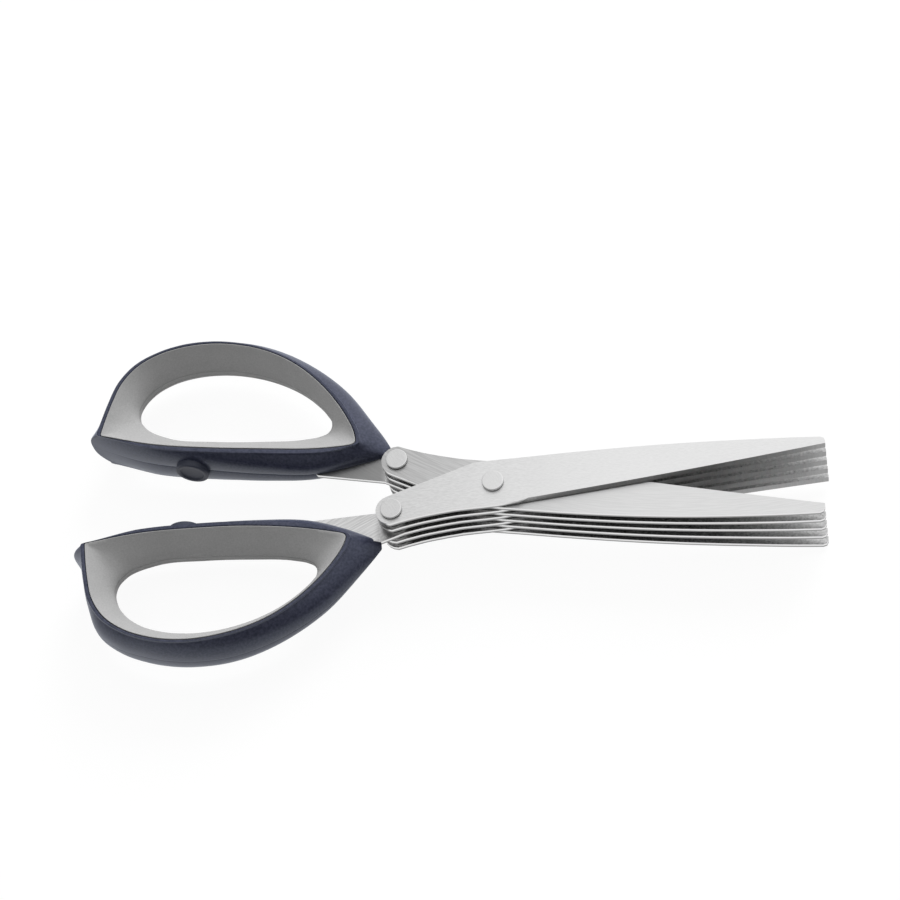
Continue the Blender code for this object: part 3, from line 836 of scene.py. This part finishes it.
throat_line = rounded_line(in_box(THROAT, THROAT_FRONT, THROAT_OFFSET, THROAT_SIZE), {}, stations)
soft_line = rounded_line(in_box(LOOP, LOOP_FRONT, LOOP_OFFSET, LOOP_SIZE), SOFT_CORNERS, stations)
seat = drawn_in(loop_line, INSERT_GAP)
land = drawn_in(loop_line, INSERT_GAP + INSERT_BORDER)
heights = [half_height(rim) for rim in loop_line]
grey_rubber = finish("grey_rubber", rubber, Specular_IOR_Level=0.35)
for half in ("finger", "thumb"):
    sections = [insert_section(*spot) for spot in zip(seat, land, soft_line, throat_line, heights)]
    insert = ring(f"moulded_{half}_insert", sections, half)
    settle(insert, f"{half}_handle_grip", f"{half}_half", "grey_rubber", grey_rubber)


# A round bumper of dark rubber is pressed into each shell's inner wall, so that the handles meet
# softly. Its face has a raised border and a shallow dish. The face's points are radii and
# heights, from the middle of the dish to the foot of the outer side.
BUMPER_FACE = (
    (0, -0.0005), (0.0030, -0.0005), (0.0032, -0.00042), (0.00337, -0.00010), (0.0035, 0),
    (0.0041, 0), (0.0044, -0.00010), (0.00457, -0.00030), (0.0046, -0.0006), (0.0046, -0.0026),
)
BUMPER_STEM = (0.0014, 0.0006)
BUMPER_PLACE = -0.0844
BUMPER_PROUD = 0.0015
BUMPER_SHARP = 40
BUMPER_DARK = (0.034, 0.039, 0.062, 1)
BUMPER_LIGHT = (0.060, 0.068, 0.098, 1)
BUMPER_GRAIN = 3600.0
BUMPER_ROUGHNESS = (0.42, 0.62)
BUMPER_RELIEF = (0.35, 0.00005)


def soft_dark():
    """Return the paint of the bumper."""
    x, y, z = place()
    fine = grain(x, y, z, BUMPER_GRAIN)
    return {
        "Base Color": tint(fine, BUMPER_DARK, BUMPER_LIGHT),
        "Roughness": fine.spread(*BUMPER_ROUGHNESS),
        "Normal": relief(fine, *BUMPER_RELIEF),
    }


bumper_rubber = finish("bumper_rubber", soft_dark, Specular_IOR_Level=0.45)
back_height = BUMPER_FACE[-1][1]
stem = [(BUMPER_STEM[0], back_height), (BUMPER_STEM[0], back_height - BUMPER_STEM[1]),
        (0, back_height - BUMPER_STEM[1])]
inner_wall = crown_line[:len(crown_line) // 2]
rear, front = next(pair for pair in zip(inner_wall, inner_wall[1:])
                   if pair[0].x <= BUMPER_PLACE < pair[1].x)
along = (front - rear).normalized()
outwards = Vector((-along.y, along.x, 0))
foot = rear.lerp(front, (BUMPER_PLACE - rear.x) / (front.x - rear.x)).to_3d()
turn = outwards.to_track_quat("Z", "Y").to_matrix().to_4x4()
for half in ("finger", "thumb"):
    node = f"{half}_bumper"
    bumper = turn_up(f"pressed_{node}", [*BUMPER_FACE, *stem])
    move_mesh(bumper, on_half(half) @ Matrix.Translation(foot + outwards * BUMPER_PROUD) @ turn)
    only(bumper)
    bpy.ops.object.shade_smooth_by_angle(angle=math.radians(BUMPER_SHARP))
    settle(bumper, node, f"{half}_half", "bumper_rubber", bumper_rubber)


# The studio has a plain white paper floor, a white surround that is dimmer on the camera's side,
# and a large soft lamp behind that the steel doesn't mirror. In what the steel mirrors, the
# surround is also dimmer to the west than to the east. The camera itself sees it plain white.
FLOOR_SIZE = 8
FLOOR_GAP = 0.0001
PAPER = (0.8, 0.8, 0.8, 1)
PAPER_GLOW = 0.93
PAPER_SHADOW = (0.09, 0.09, 0.09, 1)
FRONT_WALL = (0.55, 0.06)
FRONT_TURN = (-0.8, 0.5)
SIDE_WALLS = (0.45, 1.10)
SIDE_TURN = (-0.70, 0.05)
RISE = (0.8, 0.6)
RISE_TURN = (-0.35, 0.75)
SKY_LIGHT = 0.75
LAMP_SIZE = 0.7
LAMP_PLACE = (0.35, 1.12, 0.77)
LAMP_WATTS = 15

bpy.ops.mesh.primitive_plane_add(size=FLOOR_SIZE, location=(0, 0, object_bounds()[0].z - FLOOR_GAP))
floor = bpy.context.object
floor.name = "floor"
paper = bpy.data.materials.new("paper")
paper.use_nodes = True
Shade.tree = paper.node_tree
paper.node_tree.nodes.clear()
matt = Shade.node("ShaderNodeBsdfDiffuse", (), {"Color": PAPER})
glow = Shade.node("ShaderNodeEmission", (), {"Color": WHITE, "Strength": PAPER_GLOW})
faint = Shade.node("ShaderNodeBsdfDiffuse", (), {"Color": PAPER_SHADOW})
lit = Shade.node("ShaderNodeAddShader", (), {0: glow, 1: faint})
camera_ray = Shade.node("ShaderNodeLightPath", output="Is Camera Ray")
glossy_ray = Shade.node("ShaderNodeLightPath", output="Is Glossy Ray")
seen = camera_ray.maths("MAXIMUM", glossy_ray)
mixed = Shade.node("ShaderNodeMixShader", (), {0: seen, 1: matt, 2: lit})
paper_output = paper.node_tree.nodes.new("ShaderNodeOutputMaterial")
paper.node_tree.links.new(mixed.socket, paper_output.inputs["Surface"])
floor.data.materials.append(paper)

world = bpy.data.worlds.new("surround")
bpy.context.scene.world = world
world.use_nodes = True
Shade.tree = world.node_tree
world.node_tree.nodes.clear()
camera_ray = Shade.node("ShaderNodeLightPath", output="Is Camera Ray")
glossy_ray = Shade.node("ShaderNodeLightPath", output="Is Glossy Ray")
way = Shade.node("ShaderNodeTexCoord", output="Generated")
east, north, height = (Shade.node("ShaderNodeSeparateXYZ", (), {0: way}, axis) for axis in range(3))
front_wall = east.ramp(*FRONT_TURN).spread(*FRONT_WALL)
level = (north * RISE[0] + height * RISE[1]).ramp(*RISE_TURN) * (1 - front_wall) + front_wall
side_wall = east.ramp(*SIDE_TURN).spread(*SIDE_WALLS)
level = level * (glossy_ray * (side_wall - 1) + 1)
strength = camera_ray + (1 - camera_ray) * level * glossy_ray.spread(SKY_LIGHT, 1)
sky = Shade.node("ShaderNodeBackground", (), {"Color": WHITE, "Strength": strength})
world_output = world.node_tree.nodes.new("ShaderNodeOutputWorld")
world.node_tree.links.new(sky.socket, world_output.inputs["Surface"])

light = bpy.data.lights.new("key", "AREA")
light.shape = "SQUARE"
light.size = LAMP_SIZE
light.energy = LAMP_WATTS
lamp = bpy.data.objects.new("key", light)
bpy.context.scene.collection.objects.link(lamp)
lamp.location = LAMP_PLACE
lamp.rotation_euler = Vector(LAMP_PLACE).to_track_quat("Z", "Y").to_euler()
lamp.visible_glossy = False

bpy.context.scene.view_settings.view_transform = "Standard"
